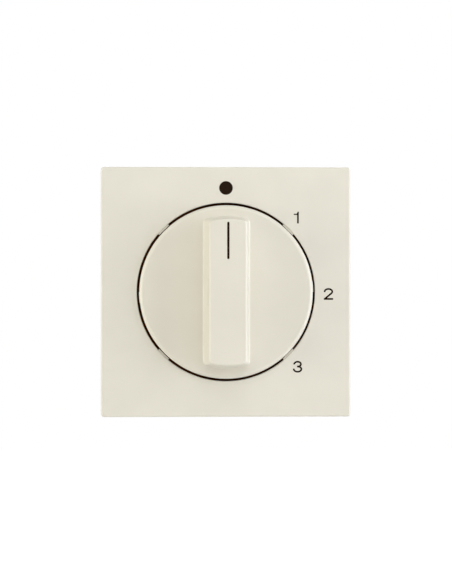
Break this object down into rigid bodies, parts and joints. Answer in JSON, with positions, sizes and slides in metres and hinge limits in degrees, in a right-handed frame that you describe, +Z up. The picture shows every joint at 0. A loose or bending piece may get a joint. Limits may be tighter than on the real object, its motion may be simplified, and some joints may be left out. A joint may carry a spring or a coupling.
{
  "type": "rotary switch",
  "caption": "Flush rotary switch with a square cream plate, a round knob with a grip bar, an off position and steps, on a steel frame with a housing behind.",
  "frame": {"origin": "on the knob's axis, in the plane of the wall, which is the back of the support frame", "axes": "+Z up, +Y into the wall along the knob's axis, so the front faces -Y, and +X to the right as seen from the front"},
  "size_m": [0.055, 0.0478, 0.055],
  "materials": {
    "cream_plate": "glossy cream moulding",
    "cream_knob": "glossy cream moulding",
    "print": "matt dark print",
    "zinc_steel": "zinc plated sheet steel",
    "screw_steel": "passivated steel",
    "spring_steel": "hard rolled steel",
    "grey_moulding": "grey thermoset, fine grained",
    "white_moulding": "off-white thermoset, fine grained",
    "spindle_moulding": "white acetal",
    "rotor_moulding": "dark grey acetal",
    "button_moulding": "orange moulding",
    "bronze": "spring bronze",
    "brass": "stamped brass",
    "silver": "silver contact tip"
  },
  "bodies": {
    "switch": {"centre_plate": "cream_plate", "scale_dot": "print", "scale_numerals": "print", "support_frame": "zinc_steel", "mechanism_cover": "grey_moulding", "base_housing": "white_moulding", "frame_screws": "screw_steel", "cover_screws": "screw_steel", "contact_1": "brass", "contact_2": "brass", "contact_3": "brass", "common_contact": "brass", "contact_tips": "silver", "detent_spring_1": "spring_steel", "detent_spring_2": "spring_steel", "clamp_spring_1": "spring_steel", "clamp_spring_2": "spring_steel", "clamp_spring_3": "spring_steel", "clamp_spring_common": "spring_steel"},
    "knob": {"knob": "cream_knob", "pointer_line": "print", "knob_leaf_spring": "spring_steel", "spindle": "spindle_moulding", "spindle_clip": "spring_steel", "detent_rotor": "rotor_moulding", "wiper_contact": "bronze"},
    "button_1": {"release_button_1": "button_moulding"},
    "button_2": {"release_button_2": "button_moulding"},
    "button_3": {"release_button_3": "button_moulding"},
    "button_common": {"release_button_common": "button_moulding"},
    "claw_left": {"claw_left": "zinc_steel"},
    "claw_screw_left": {"claw_screw_left": "screw_steel"},
    "claw_right": {"claw_right": "zinc_steel"},
    "claw_screw_right": {"claw_screw_right": "screw_steel"}
  },
  "joints": [
    {"name": "knob_turn", "type": "hinge", "parent": "switch", "child": "knob", "pos_m": [0, 0, 0], "axis": [0, 1, 0], "range_deg": [0, 135], "deforming": ["detent_spring_1", "detent_spring_2"]},
    {"name": "release_1_push", "type": "slide", "parent": "switch", "child": "button_1", "axis": [0, -1, 0], "range_m": [0, 0.0012], "stiffness_N_per_m": 1500, "springref_m": -0.0002, "deforming": ["clamp_spring_1"]},
    {"name": "release_2_push", "type": "slide", "parent": "switch", "child": "button_2", "axis": [0, -1, 0], "range_m": [0, 0.0012], "stiffness_N_per_m": 1500, "springref_m": -0.0002, "deforming": ["clamp_spring_2"]},
    {"name": "release_3_push", "type": "slide", "parent": "switch", "child": "button_3", "axis": [0, -1, 0], "range_m": [0, 0.0012], "stiffness_N_per_m": 1500, "springref_m": -0.0002, "deforming": ["clamp_spring_3"]},
    {"name": "release_common_push", "type": "slide", "parent": "switch", "child": "button_common", "axis": [0, -1, 0], "range_m": [0, 0.0012], "stiffness_N_per_m": 1500, "springref_m": -0.0002, "deforming": ["clamp_spring_common"]},
    {"name": "claw_screw_left_turn", "type": "hinge", "parent": "switch", "child": "claw_screw_left", "pos_m": [-0.0229, 0, 0], "axis": [0, 1, 0], "range_deg": [0, 444]},
    {"name": "claw_left_swing", "type": "hinge", "parent": "switch", "child": "claw_left", "pos_m": [-0.021, 0.008, 0], "axis": [0, 0, 1], "range_deg": [0, 18.2]},
    {"name": "claw_screw_right_turn", "type": "hinge", "parent": "switch", "child": "claw_screw_right", "pos_m": [0.0229, 0, 0], "axis": [0, 1, 0], "range_deg": [0, 444]},
    {"name": "claw_right_swing", "type": "hinge", "parent": "switch", "child": "claw_right", "pos_m": [0.021, 0.008, 0], "axis": [0, 0, -1], "range_deg": [0, 18.2]}
  ],
  "couplings": [
    {"joint": "claw_left_swing", "follows": "claw_screw_left_turn", "ratio": 0.040541},
    {"joint": "claw_right_swing", "follows": "claw_screw_right_turn", "ratio": 0.040541}
  ]
}
